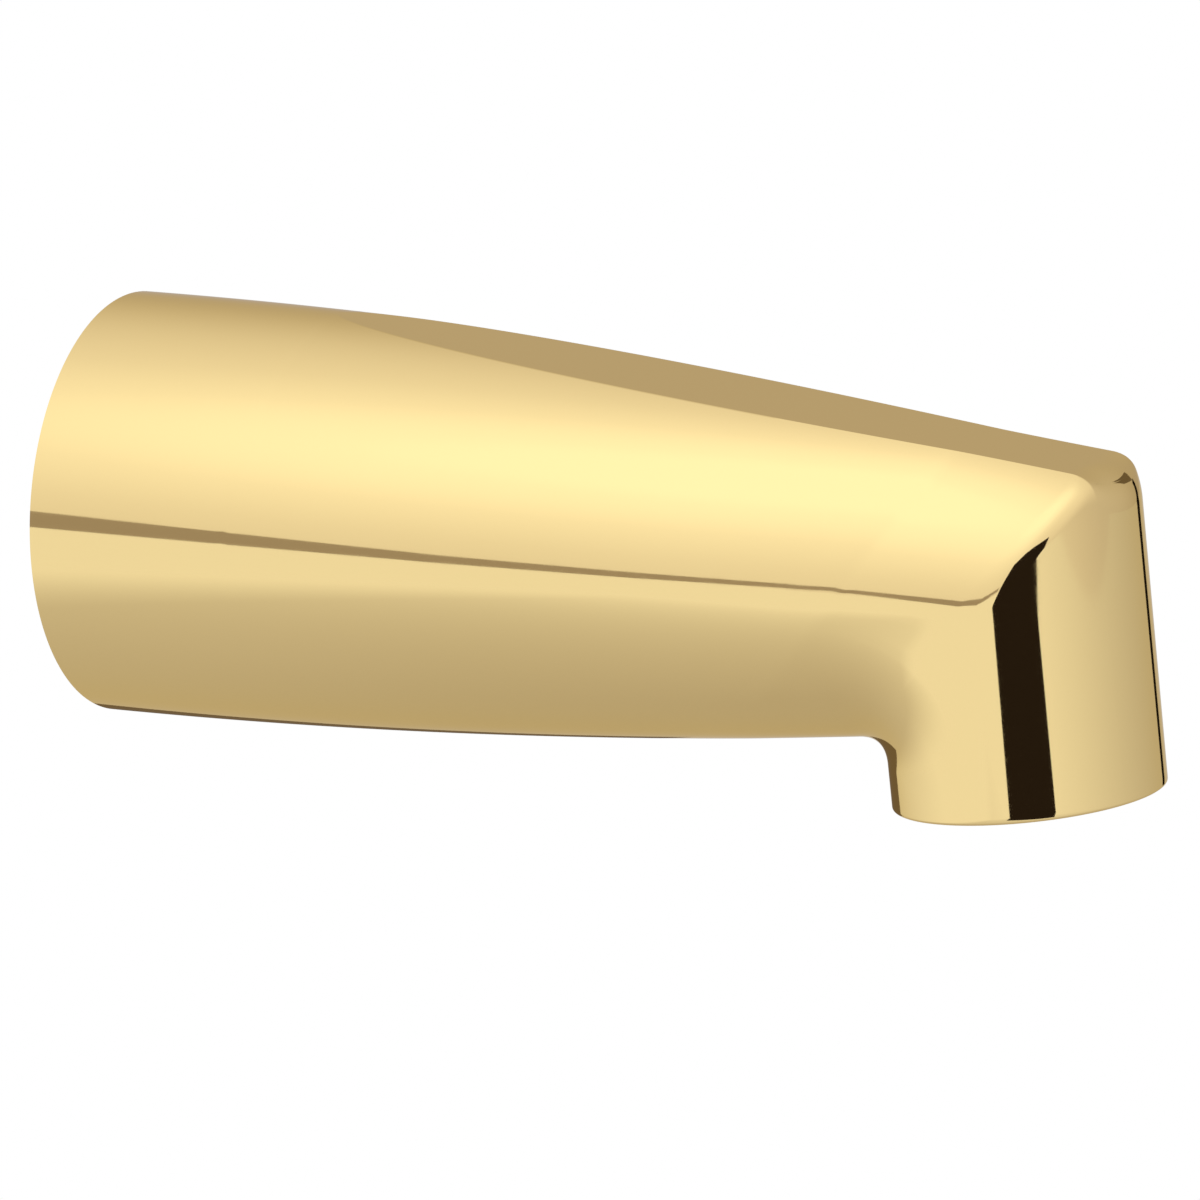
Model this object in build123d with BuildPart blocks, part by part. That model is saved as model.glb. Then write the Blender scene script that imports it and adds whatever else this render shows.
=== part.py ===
"""Bath spout: a cast brass body that slips over a copper supply tube and is locked by a set screw.

Origin: centre of the wall face, on the barrel's axis. +X points out of the wall, +Z up. Millimetres.
"""
import os
from math import cos, hypot, radians, sqrt, tan

from build123d import *

# Body, outside
wall_diameter = 63.5
reach = 162.5
outlet_diameter = 39.1
outlet_drop = 31.0
nozzle_lean = 6.7
barrel_end_height = 44.1
barrel_start_slope = 0.42
corner_setback = 2.0
throat_setback = 4.0
facet_start = 35.0
facet_depth = 3.35
outlet_tilt = 7.7
outlet_edge_chamfer = 0.4

# Body, inside
shell_wall = 3.0
rear_hollow_depth = 78.0
rear_hollow_end_diameter = 47.0
bulkhead = 8.0
chamber_diameter = 42.0
nozzle_wall = 4.0
socket_start = 10.0
socket_wall = 3.0

# Pipe connector and O-rings
supply_diameter = 15.9
supply_clearance = 0.1
insertion_depth = 50.0
connector_wall = 3.7
connector_flange_width = 2.0
connector_flange_thickness = 2.0
connector_stop_width = 1.2
connector_stop_length = 4.0
ring_section = 2.0
ring_sides = 8
ring_spacing = 9.0
ring_stop_distance = 9.0
fit_clearance = 0.05

# Set screw
screw_diameter = 6.35
screw_length = 14.0
screw_position = 20.0
screw_post_wall = 3.2
screw_tip_gap = 0.35
screw_tip_chamfer = 1.0
hex_key = 3.2
hex_depth = 4.0

# Sections that the barrel and the elbow are lofted through
barrel_stations = 8
elbow_stations = 8

# Outline of the body in its middle plane
wall_radius = wall_diameter / 2
nozzle_radius = outlet_diameter / 2
lean = tan(radians(nozzle_lean))
outlet_half_length = nozzle_radius / cos(radians(outlet_tilt - nozzle_lean))
outlet_front = Vector(1, 0, 0).rotate(Axis.Y, -outlet_tilt)
outlet_centre = Vector(reach, 0, -outlet_drop) - Vector(outlet_half_length * outlet_front.X, 0, 0)
nozzle_axis_x = outlet_centre.X - outlet_drop * lean
nozzle_up = Vector(-lean, 0, 1).normalized()
TOP, UNDERSIDE = 1, -1


def barrel_half(x, end_half, start_slope):
    """Half size of the barrel at x, on a shallow curve from the wall to the nozzle's axis."""
    share = x / nozzle_axis_x
    slope_fall = tan(radians(start_slope)) * nozzle_axis_x
    return wall_radius - slope_fall * share - (wall_radius - slope_fall - end_half) * share**2


def half_height(x):
    return barrel_half(x, barrel_end_height / 2, barrel_start_slope)


def half_width(x):
    return barrel_half(x, nozzle_radius, 0)


def barrel_point(side, x):
    return Vector(x, 0, side * half_height(x))


def sharp_corner(side):
    """Where the barrel's top meets the nozzle's front, or its underside the nozzle's rear."""
    z = 0.0
    for _ in range(30):
        x = nozzle_axis_x - z * lean + side * nozzle_radius * hypot(1, lean)
        z = side * half_height(x)
    return Vector(x, 0, z)


def rounded_corner(side, setback, share):
    """Point at a share of the curve that rounds the elbow's corner or its throat."""
    corner = sharp_corner(side)
    start = barrel_point(side, corner.X - setback)
    end = corner - nozzle_up * setback
    return start * (1 - share) ** 2 + corner * (2 * share * (1 - share)) + end * share**2


def elbow_rail(share):
    low = rounded_corner(UNDERSIDE, throat_setback, share)
    return low, rounded_corner(TOP, corner_setback, share)


def barrel_rail(share):
    low, high = elbow_rail(0)
    return barrel_point(UNDERSIDE, low.X * share), barrel_point(TOP, high.X * share)


def barrel_width(low, high):
    """Half width of a slanted barrel section, from where its middle lies."""
    middle = (low + high) * 0.5
    return half_width(middle.X) * sqrt(1 - (middle.Z / half_height(middle.X)) ** 2)


def section_plane(low, high):
    """Plane across the body through a point of its underside and one of its top."""
    along = high - low
    return Plane(origin=(low + high) * 0.5, x_dir=along, z_dir=Vector(along.Z, 0, -along.X))


# Spout body, one brass casting
supply_radius = supply_diameter / 2 + supply_clearance
connector_radius = supply_radius + connector_wall
socket_radius = connector_radius + fit_clearance
socket_outer_radius = socket_radius + socket_wall
socket_end = socket_start - connector_flange_thickness + insertion_depth + connector_stop_length
passage_radius = supply_radius - connector_stop_width
chamber_start = rear_hollow_depth + bulkhead
nozzle_bore_radius = nozzle_radius - nozzle_wall
screw_hole_radius = screw_diameter / 2 + fit_clearance

# Elliptical sections as (underside point, top point, half width), for the barrel and the elbow
barrel_sections = []
for k in range(barrel_stations + 1):
    low, high = barrel_rail(k / barrel_stations)
    barrel_sections.append((low, high, barrel_width(low, high)))
elbow_narrowing = barrel_sections[-1][2] - nozzle_radius
elbow_sections = []
for k in range(elbow_stations + 1):
    share = k / elbow_stations
    elbow_sections.append((*elbow_rail(share), nozzle_radius + elbow_narrowing * (1 - share) ** 2))

# Nozzle, a leaning cylinder between the outlet's tilted plane and the end of the elbow
outlet_up = Vector(-outlet_front.Z, 0, outlet_front.X)
with BuildPart() as nozzle:
    with BuildSketch(Plane(origin=outlet_centre, x_dir=outlet_front, z_dir=outlet_up)):
        Ellipse(outlet_half_length, nozzle_radius)
    extrude(amount=2 * outlet_drop, dir=nozzle_up)
    chamfer(nozzle.faces().sort_by(Axis.Z)[0].edges(), outlet_edge_chamfer)
    split(bisect_by=section_plane(*elbow_rail(1)), keep=Keep.TOP)

with BuildPart() as spout_body:
    for stretch in (barrel_sections, elbow_sections):
        for low, high, width in stretch:
            with BuildSketch(section_plane(low, high)):
                with BuildLine():
                    EllipticalCenterArc((0, 0), (high - low).length / 2, width, arc_size=180)
                    mirror(about=Plane.XZ)
                make_face()
        loft()
    add(nozzle.part)
    # Flat along the top, from where it starts to its depth over the nozzle's axis
    facet_origin = barrel_point(TOP, facet_start)
    facet_run = barrel_point(TOP, nozzle_axis_x) - Vector(0, 0, facet_depth) - facet_origin
    facet_normal = Vector(-facet_run.Z, 0, facet_run.X)
    with BuildSketch(Plane(origin=facet_origin, x_dir=facet_run, z_dir=facet_normal)):
        Rectangle(2 * reach, wall_diameter)
    extrude(amount=wall_radius, mode=Mode.SUBTRACT)
    # Hollow at the wall, around the socket for the connector
    with BuildSketch(Plane.XZ):
        with BuildLine():
            Polyline(
                (0, 0),
                (0, wall_radius - shell_wall),
                (rear_hollow_depth, rear_hollow_end_diameter / 2),
                (rear_hollow_depth, socket_outer_radius),
                (socket_start, socket_outer_radius),
                (socket_start, 0),
                close=True,
            )
        make_face()
    revolve(axis=Axis.X, mode=Mode.SUBTRACT)
    # Post for the set screw, from the socket to the underside
    with BuildSketch(Plane.XY.offset(-socket_radius - socket_wall / 2)):
        with Locations((screw_position, 0)):
            Circle(screw_hole_radius + screw_post_wall)
    extrude(amount=-(half_height(screw_position) - shell_wall / 2 - socket_radius - socket_wall / 2))
    with BuildSketch(Plane.XY):
        with Locations((screw_position, 0)):
            Circle(screw_hole_radius)
    extrude(amount=-wall_radius, mode=Mode.SUBTRACT)
    # Socket, passage and the water chamber that ends in the nozzle
    with BuildSketch(Plane.XZ):
        with BuildLine():
            Polyline(
                (socket_start, 0),
                (socket_start, socket_radius),
                (socket_end, socket_radius),
                (socket_end, passage_radius),
                (chamber_start, passage_radius),
                (chamber_start, chamber_diameter / 2),
                (nozzle_axis_x, nozzle_bore_radius),
                (nozzle_axis_x, 0),
                close=True,
            )
        make_face()
    revolve(axis=Axis.X, mode=Mode.SUBTRACT)
    with Locations((nozzle_axis_x, 0, 0)):
        Sphere(nozzle_bore_radius, mode=Mode.SUBTRACT)
    with BuildSketch(Plane(origin=(nozzle_axis_x, 0, 0), z_dir=-nozzle_up)):
        Circle(nozzle_bore_radius)
    extrude(amount=2 * outlet_drop, mode=Mode.SUBTRACT)
spout_body.part.label = "spout_body"

# Pipe connector, a turned brass sleeve with two grooves for O-rings
flange_start = socket_start - connector_flange_thickness
stop_face = flange_start + insertion_depth
ring_radius = supply_radius + ring_section / 2
groove_radius = supply_radius + ring_section + fit_clearance
groove_half_width = ring_section / 2 + fit_clearance
ring_positions = [stop_face - ring_stop_distance - k * ring_spacing for k in range(2)]

with BuildPart() as pipe_connector:
    with BuildSketch(Plane.XZ):
        with BuildLine():
            Polyline(
                (flange_start, supply_radius),
                (flange_start, connector_radius + connector_flange_width),
                (socket_start, connector_radius + connector_flange_width),
                (socket_start, connector_radius),
                (socket_end, connector_radius),
                (socket_end, passage_radius),
                (stop_face, passage_radius),
                (stop_face, supply_radius),
                close=True,
            )
        make_face()
        with Locations(*[(x, supply_radius) for x in ring_positions]):
            Rectangle(2 * groove_half_width, 2 * (groove_radius - supply_radius), mode=Mode.SUBTRACT)
    revolve(axis=Axis.X)
    with BuildSketch(Plane.XY):
        with Locations((screw_position, 0)):
            Circle(screw_hole_radius)
    extrude(amount=-(connector_radius + connector_flange_width), mode=Mode.SUBTRACT)
pipe_connector.part.label = "pipe_connector"

# O-rings, at the size that they have once the tube is in, flattened on all sides by their grooves
o_rings = {}
for name, x in zip(("front_o_ring", "rear_o_ring"), ring_positions):
    with BuildPart() as o_ring:
        with BuildSketch(Plane.XZ):
            with Locations((x, ring_radius)):
                RegularPolygon(ring_section / 2, ring_sides, major_radius=False, rotation=180 / ring_sides)
        revolve(axis=Axis.X)
    o_ring.part.label = name
    o_rings[name] = o_ring.part

# Set screw with a hexagon socket, backed off until its tip just clears the tube
screw_tip = supply_radius + screw_tip_gap

with BuildPart() as set_screw:
    with BuildSketch(Plane.XY.offset(-screw_tip)):
        with Locations((screw_position, 0)):
            Circle(screw_diameter / 2)
    extrude(amount=-screw_length)
    chamfer(set_screw.edges().sort_by(Axis.Z)[-1], screw_tip_chamfer)
    with BuildSketch(Plane.XY.offset(-screw_tip - screw_length)):
        with Locations((screw_position, 0)):
            RegularPolygon(hex_key / 2, 6, major_radius=False)
    extrude(amount=hex_depth, mode=Mode.SUBTRACT)
set_screw.part.label = "set_screw"

os.makedirs("parts", exist_ok=True)
export_step(spout_body.part, "parts/spout_body.step")
export_step(pipe_connector.part, "parts/pipe_connector.step")
for name, ring in o_rings.items():
    export_step(ring, f"parts/{name}.step")
export_step(set_screw.part, "parts/set_screw.step")
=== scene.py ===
# %% [markdown]
# # A polished brass bath spout
#
# The real spout is one brass casting: a barrel that tapers away from the wall, mitred into a short nozzle
# that opens downwards, then polished until it mirrors the room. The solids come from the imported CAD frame.
# This file gives the casting a skin that is smooth enough for a mirror finish, finishes the small pieces
# inside, and sets up a plain studio, because a mirror only looks right with something plain to reflect.

# %% Load the frame
from math import acos, atan, cos, degrees, hypot, pi, radians, sin, sqrt, tan

import bmesh
import bpy
from mathutils import Matrix, Vector


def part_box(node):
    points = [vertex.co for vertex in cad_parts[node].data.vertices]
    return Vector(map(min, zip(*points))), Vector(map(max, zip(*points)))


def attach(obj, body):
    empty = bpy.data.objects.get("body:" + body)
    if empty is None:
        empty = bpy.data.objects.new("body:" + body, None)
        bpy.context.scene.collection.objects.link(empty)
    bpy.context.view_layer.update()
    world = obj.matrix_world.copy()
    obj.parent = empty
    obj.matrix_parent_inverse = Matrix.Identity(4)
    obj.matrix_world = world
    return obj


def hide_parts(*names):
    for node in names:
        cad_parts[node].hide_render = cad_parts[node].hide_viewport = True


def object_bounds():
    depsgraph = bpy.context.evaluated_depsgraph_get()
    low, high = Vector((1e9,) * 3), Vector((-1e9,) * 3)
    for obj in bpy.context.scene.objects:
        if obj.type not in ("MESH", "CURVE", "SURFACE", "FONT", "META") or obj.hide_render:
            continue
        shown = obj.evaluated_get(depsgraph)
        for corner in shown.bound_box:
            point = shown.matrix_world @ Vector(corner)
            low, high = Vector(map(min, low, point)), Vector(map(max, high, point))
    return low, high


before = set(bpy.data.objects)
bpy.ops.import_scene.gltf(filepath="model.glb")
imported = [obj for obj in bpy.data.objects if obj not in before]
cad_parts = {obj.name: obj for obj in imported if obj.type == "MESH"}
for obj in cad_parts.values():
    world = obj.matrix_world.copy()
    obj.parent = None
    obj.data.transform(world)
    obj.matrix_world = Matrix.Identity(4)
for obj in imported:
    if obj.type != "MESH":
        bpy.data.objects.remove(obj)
cad_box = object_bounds()
mm = 0.001
print("CAD nodes:", sorted(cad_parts))

# %% [markdown]
# ## Functions for nodes and colours
#
# Every tree below, for shapes and for finishes alike, is built with the same small function. It adds a
# node, sets its properties, and fills its sockets with a value or with a link from another node. The nodes
# that a material starts with are filled in the same way. A socket goes by its name, or by its number where
# several share a name: a Mix node's colours are inputs 6 and 7, and its mixed colour is output 2. Colours
# are written as the hex values that a screen shows, and turned into the linear values that Blender uses.

# %% Node and colour helpers


def fill_sockets(tree, node, sockets):
    """Fill sockets of a node, by name or number, with values or with links from other nodes."""
    for key, value in sockets.items():
        if isinstance(value, bpy.types.Node):
            value = value.outputs[0]
        if isinstance(value, bpy.types.NodeSocket):
            tree.links.new(value, node.inputs[key])
        else:
            node.inputs[key].default_value = value


def add_node(tree, kind, settings={}, sockets={}):
    """Add a node, set its properties, and fill its sockets."""
    node = tree.nodes.new(kind)
    for name, value in settings.items():
        setattr(node, name, value)
    fill_sockets(tree, node, sockets)
    return node


def linear(hex_colour):
    """Linear RGBA of an sRGB hex colour."""
    channels = [int(hex_colour[i : i + 2], 16) / 255 for i in (0, 2, 4)]
    return (*[c / 12.92 if c <= 0.04045 else ((c + 0.055) / 1.055) ** 2.4 for c in channels], 1)


plain_white = linear("FFFFFF")
print("white in linear values:", plain_white)

# %% [markdown]
# ## Finishes
#
# Polished brass is a mirror with a warm tint. A buffing wheel leaves it very smooth, but never quite flat:
# long waves about a hundredth of a millimetre high make straight reflections wander a little, and fine
# hairlines along the polishing direction change its gloss. Both could be painted on a map, but noise in
# object coordinates stays on the metal from every side and needs no seams. The hairlines are really finer
# than a pixel, and are drawn about three times as coarse so that they show.

# %% Polished brass


def new_material(name):
    """A material, its node tree, and the shader that it starts with."""
    material = bpy.data.materials.new(name)
    material.use_nodes = True
    return material, material.node_tree, material.node_tree.nodes["Principled BSDF"]


def polished_brass():
    material, tree, shader = new_material("polished_cast_brass")
    place = add_node(tree, "ShaderNodeTexCoord").outputs["Object"]
    wave_length, wave_height = 38 * mm, 0.012 * mm
    waves = add_node(
        tree, "ShaderNodeTexNoise", {}, {"Vector": place, "Scale": 1 / wave_length, "Detail": 0.0}
    )
    bump = add_node(tree, "ShaderNodeBump", {}, {"Height": waves, "Distance": wave_height, "Strength": 1.0})
    hairline_length, hairline_spacing = 12 * mm, 0.4 * mm
    stretch = (1 / hairline_length, 1 / hairline_spacing, 1 / hairline_spacing)
    along = add_node(tree, "ShaderNodeVectorMath", {"operation": "MULTIPLY"}, {0: place, 1: stretch})
    hairlines = add_node(tree, "ShaderNodeTexNoise", {}, {"Vector": along, "Scale": 1.0, "Detail": 2.0})
    smoothest, dullest = 0.03, 0.06
    gloss = add_node(
        tree,
        "ShaderNodeMapRange",
        {},
        {0: hairlines, "From Min": 0.3, "From Max": 0.7, "To Min": smoothest, "To Max": dullest},
    )
    patch_size = 55 * mm
    patches = add_node(
        tree, "ShaderNodeTexNoise", {}, {"Vector": place, "Scale": 1 / patch_size, "Detail": 1.0}
    )
    tint = add_node(
        tree,
        "ShaderNodeMix",
        {"data_type": "RGBA"},
        {"Factor": patches, 6: linear("F3DA9C"), 7: linear("F0D799")},
    )
    fill_sockets(tree, shader, {"Base Color": tint.outputs[2], "Roughness": gloss, "Normal": bump})
    fill_sockets(tree, shader, {"Metallic": 1.0, "Specular Tint": linear("FBEFCE")})
    return material


brass_mirror = polished_brass()
print("finish:", brass_mirror.name)

# %% [markdown]
# The sleeve inside was turned on a lathe. The tool's feed leaves fine rings around its axis, which the eye
# sees as bands of gloss. They could be modelled, but they are only a hundredth of a millimetre deep, so a
# wave along the axis, one wave for each turn of the lathe, moves the roughness and a slight bump instead.

# %% Turned brass


def turned_brass():
    material, tree, shader = new_material("lathe_turned_brass")
    place = add_node(tree, "ShaderNodeTexCoord").outputs["Object"]
    feed, ring_depth = 0.35 * mm, 0.01 * mm
    # At a scale of 1 a wave texture turns through 20 radians in each metre
    one_wave_per_metre = 2 * pi / 20
    rings = add_node(
        tree,
        "ShaderNodeTexWave",
        {"wave_type": "BANDS", "bands_direction": "X"},
        {"Vector": place, "Scale": one_wave_per_metre / feed, "Distortion": 0.6, "Detail": 1.0},
    ).outputs["Fac"]
    smoothest, dullest = 0.2, 0.34
    gloss = add_node(tree, "ShaderNodeMapRange", {}, {0: rings, "To Min": smoothest, "To Max": dullest})
    bump = add_node(tree, "ShaderNodeBump", {}, {"Height": rings, "Distance": ring_depth, "Strength": 0.6})
    fill_sockets(tree, shader, {"Base Color": linear("E3C07A"), "Roughness": gloss, "Normal": bump})
    fill_sockets(tree, shader, {"Metallic": 1.0})
    return material


brass_turned = turned_brass()
print("finish:", brass_turned.name)

# %% [markdown]
# Three more surfaces have an even grain. Inside, where no wheel reaches, the casting keeps the print of its
# sand core: a dull, slightly darker brass with bumps about the size of the sand. The seals are black
# nitrile rubber, which takes a fine matt from its mould, and the set screw is steel with a black oxide coat
# that is nearly matt. Each is the same thing at another size, so one function makes all three: noise as
# coarse as the grain, between two near tones, with a bump.

# %% Grained finishes


def grained(name, dark, pale, grain_size, grain_height, roughness, metallic, detail=2.0, strength=0.6):
    """A fine, even grain between two near tones, at real sizes."""
    material, tree, shader = new_material(name)
    place = add_node(tree, "ShaderNodeTexCoord").outputs["Object"]
    grain = add_node(
        tree, "ShaderNodeTexNoise", {}, {"Vector": place, "Scale": 1 / grain_size, "Detail": detail}
    )
    bump = add_node(
        tree, "ShaderNodeBump", {}, {"Height": grain, "Distance": grain_height, "Strength": strength}
    )
    tint = add_node(
        tree, "ShaderNodeMix", {"data_type": "RGBA"}, {"Factor": grain, 6: linear(dark), 7: linear(pale)}
    )
    fill_sockets(tree, shader, {"Base Color": tint.outputs[2], "Roughness": roughness, "Normal": bump})
    fill_sockets(tree, shader, {"Metallic": metallic})
    return material


brass_cast = grained(
    "sand_cast_brass", "A98450", "CBA66B", 0.7 * mm, 0.06 * mm, 0.48, metallic=1.0, detail=3.0, strength=0.8
)
rubber = grained("nitrile_rubber", "151516", "222224", 0.4 * mm, 0.01 * mm, 0.55, metallic=0.0)
oxide_steel = grained("black_oxide_steel", "343437", "4A4A4D", 0.25 * mm, 0.004 * mm, 0.36, metallic=1.0)
print("finishes:", [m.name for m in (brass_cast, rubber, oxide_steel)])

# %% [markdown]
# ## The casting's outline
#
# Seen from the side, the casting is a barrel that narrows on shallow curves from a round wall end, and a
# straight nozzle that leans forward and ends in a tilted rim. The outline could be traced point by point,
# but the CAD part says how it is made, so its driving sizes and formulas are used again here.

# %% Driving sizes
wall_diameter = 63.5 * mm
barrel_end_height = 44.1 * mm
barrel_start_slope = radians(0.42)
reach = 162.5 * mm
outlet_diameter = 39.1 * mm
outlet_drop = 31.0 * mm
outlet_tilt = radians(7.7)
nozzle_lean = radians(6.7)

wall_radius = wall_diameter / 2
nozzle_radius = outlet_diameter / 2
lean = tan(nozzle_lean)
nozzle_up = Vector((-lean, 0, 1)).normalized()
outlet_half_length = nozzle_radius / cos(outlet_tilt - nozzle_lean)
outlet_front = Vector((cos(outlet_tilt), 0, sin(outlet_tilt)))
outlet_centre = Vector((reach - outlet_half_length * outlet_front.x, 0, -outlet_drop))
nozzle_axis_x = outlet_centre.x - outlet_drop * lean
print("nozzle axis at x = %.1f mm" % (nozzle_axis_x / mm))

# %% [markdown]
# The outlines of barrel and nozzle cross at a sharp corner on top and at a sharp throat below. The plane
# through both is the mitre, where the two would meet if the bend were a plain saw cut. Each crossing could
# be solved by algebra, but going back and forth between the two lines settles on it in a few rounds.

# %% Where barrel and nozzle cross
TOP, UNDERSIDE = 1, -1
settling_rounds = 30


def half_height(x):
    """Half height of the barrel, on a shallow curve from the wall to the nozzle's axis."""
    share = x / nozzle_axis_x
    slope_fall = tan(barrel_start_slope) * nozzle_axis_x
    return wall_radius - slope_fall * share - (wall_radius - slope_fall - barrel_end_height / 2) * share**2


def barrel_point(side, x):
    return Vector((x, 0, side * half_height(x)))


def sharp_corner(side):
    """Where the barrel's top would meet the nozzle's front, or its underside the nozzle's rear."""
    z = 0.0
    for _ in range(settling_rounds):
        x = nozzle_axis_x - z * lean + side * nozzle_radius * hypot(1, lean)
        z = side * half_height(x)
    return Vector((x, 0, z))


corner, throat = sharp_corner(TOP), sharp_corner(UNDERSIDE)
mitre_middle = (corner + throat) / 2
mitre_axis_x = mitre_middle.x - mitre_middle.z * (corner.x - throat.x) / (corner.z - throat.z)
print("corner at x = %.1f mm, throat at x = %.1f mm" % (corner.x / mm, throat.x / mm))

# %% [markdown]
# The casting is drawn as a row of stations, each an ellipse with a centre, an up arrow and a side arrow.
# They stand upright at the wall and lean a little more as they near the elbow, until one lies in the mitre.
# The top of a leaning station is further along the taper than its foot, so it is narrower there, and a
# fourth arrow, the skew, says by how much. Sides that kept their taper up to the nozzle would meet it at a
# slight angle, and a mirror shows that as a crease, so they turn parallel to it over the last stretch.

# %% Sections of the barrel
side_run = 20.0 * mm
barrel_end_half_width = nozzle_radius / sqrt(1 - (mitre_middle.z / half_height(mitre_middle.x)) ** 2)


def half_width(x):
    """Half width of the barrel, on a shallow curve that turns parallel where it meets the nozzle."""
    side_slope = 2 * (wall_radius - barrel_end_half_width) / mitre_axis_x
    turn_start = mitre_axis_x - side_run
    if x < turn_start:
        return wall_radius - side_slope * x**2 / (2 * turn_start)
    return barrel_end_half_width + side_slope * (mitre_axis_x - x) ** 2 / (2 * side_run)


def section(low, high, width, narrowing=0.0):
    """Centre and arrows of the ellipse between a point of the underside and one of the top."""
    return (low + high) / 2, (high - low) / 2, Vector((0, width, 0)), Vector((0, narrowing, 0))


def barrel_section(low_x, high_x):
    """A slanted section, narrower at its top, which is further along the taper, than at its foot."""
    low, high = barrel_point(UNDERSIDE, low_x), barrel_point(TOP, high_x)
    middle = (low + high) / 2
    width = half_width(middle.x) * sqrt(1 - (middle.z / half_height(middle.x)) ** 2)
    along = high - low
    axis_x = middle.x - middle.z * along.x / along.z
    taper = (half_width(axis_x + mm) - half_width(axis_x - mm)) / (2 * mm)
    return section(low, high, width, taper * along.x / 2)


mitre = barrel_section(throat.x, corner.x)
print("the mitre is %.1f mm high and %.1f mm wide" % (2 * mitre[1].length / mm, 2 * mitre[2].y / mm))

# %% [markdown]
# The flat along the top is a plane through the barrel's crown near the wall, and lower at the nozzle. It
# could be cut with a Boolean, but then its edge would cross the mesh anyhow. Instead each station works out
# the angle at which its ellipse dips through that plane, so that a line of the mesh follows the flat's edge
# exactly. Where there is no flat, that angle keeps a small smallest value.

# %% Flat along the top
facet_start = 35.0 * mm
facet_depth = 3.35 * mm
smallest_edge_angle = radians(2)
facet_origin = barrel_point(TOP, facet_start)
facet_run = barrel_point(TOP, nozzle_axis_x) - Vector((0, 0, facet_depth)) - facet_origin
facet_fall = -facet_run.z / facet_run.x
facet_height = facet_origin.z + facet_fall * facet_origin.x


def facet_edge_angle(ring):
    """Angle from the top of an ellipse to where the flat cuts it."""
    centre, up = ring[:2]
    share = (facet_height - facet_fall * centre.x - centre.z) / (up.z + facet_fall * up.x)
    return max(acos(min(max(share, -1), 1)), smallest_edge_angle)


print("the flat falls by %.2f degrees" % degrees(atan(facet_fall)))

# %% [markdown]
# Besides its own ellipse a station holds a probe, the ellipse that is measured against the flat. On the
# barrel both are the same. A station also says how far it is from the mitre, which will round the bend, and
# which share of the cut into the flat it takes. The first one is a single point that closes the wall end,
# and the rows are closer over the last stretch, as far as the throat's rounding reaches.

# %% Stations along the barrel
barrel_rows, throat_rows = 100, 44
throat_reach = 26.0 * mm
bend_step = 6.0 * mm
no_arrow = Vector((0, 0, 0))
arrows = ("centre", "up", "side", "skew")
probe_arrows = [f"probe_{name}" for name in arrows]
stations = []


def add_station(ring, probe, bend, bend_lean=0.0, drop=1.0):
    """One station: its ellipse, the ellipse that meets the flat, and its distance from the mitre."""
    values = dict(zip(arrows, ring))
    values.update(zip(probe_arrows, probe))
    values.update({"bend": bend, "bend_lean": bend_lean, "drop": drop})
    values["edge_angle"] = facet_edge_angle(probe)
    stations.append(values)


add_station((no_arrow, no_arrow, no_arrow, no_arrow), barrel_section(0, 0), -throat_reach, drop=0.0)
for k in range(barrel_rows):
    share = k / barrel_rows
    ring = barrel_section((throat.x - throat_reach) * share, (corner.x - throat_reach) * share)
    add_station(ring, ring, -throat_reach)
for k in range(throat_rows):
    bend = -throat_reach + (throat_reach - bend_step) * k / throat_rows
    ring = barrel_section(throat.x + bend, corner.x + bend)
    add_station(ring, ring, bend)
print("stations along the barrel:", len(stations))

# %% [markdown]
# Through the elbow the stations are crowded towards the mitre, because the ridge there bends within a few
# millimetres. Past it they no longer lean further but slide down the nozzle, and keep the mitre as their
# probe, because the flat ends there.

# %% Stations through the elbow
elbow_rows = 90
crowding = 1.8
past_mitre = (mitre[0] - nozzle_up * bend_step, *mitre[1:])


def between(a, b, share):
    """Centre and arrows at a share of the way from one section to another."""
    return [first.lerp(second, share) for first, second in zip(a, b)]


for k in range(elbow_rows + 1):
    turn = 2 * k / elbow_rows - 1
    share = abs(turn) ** crowding
    if turn < 0:
        ring = barrel_section(throat.x - bend_step * share, corner.x - bend_step * share)
        add_station(ring, ring, -bend_step * share)
    else:
        ring = between(mitre, past_mitre, share)
        add_station(ring, mitre, bend_step * share, drop=1 - share * bend_step / outlet_drop)
print("stations down to the elbow's end:", len(stations))

# %% [markdown]
# Down the nozzle the stations turn from the mitre's slant to that of the rim. Their distance from the mitre
# is longer at the front than at the rear, so it has a middle value and a lean. Polishing rounds the rim's
# edge a little, so the last stations follow a quarter circle, and a single point closes the outlet.

# %% Stations down the nozzle
nozzle_rows, edge_rows = 48, 4
outlet_edge = 0.4 * mm
rim_step = nozzle_up * outlet_edge
rim_low = outlet_centre - outlet_front * outlet_half_length + rim_step
rim_high = outlet_centre + outlet_front * outlet_half_length + rim_step
rim = section(rim_low, rim_high, nozzle_radius)
rear_bend, front_bend = (rim_low - throat).length, (rim_high - corner).length
for k in range(1, nozzle_rows + 1):
    share = k / nozzle_rows
    bend = bend_step + ((front_bend + rear_bend) / 2 - bend_step) * share
    bend_lean = (front_bend - rear_bend) / 2 * share
    drop = (1 - bend_step / outlet_drop) * (1 - share)
    add_station(between(past_mitre, rim, share), mitre, bend, bend_lean, drop)
for k in range(1, edge_rows + 1):
    turn = pi / 2 * k / edge_rows
    inset = 1 - outlet_edge * (1 - cos(turn)) / nozzle_radius
    ring = (rim[0] - rim_step * sin(turn), rim[1] * inset, rim[2] * inset, no_arrow)
    add_station(ring, mitre, front_bend, drop=0.0)
add_station((outlet_centre, no_arrow, no_arrow, no_arrow), mitre, front_bend, drop=0.0)
print("stations in all:", len(stations))

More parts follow.
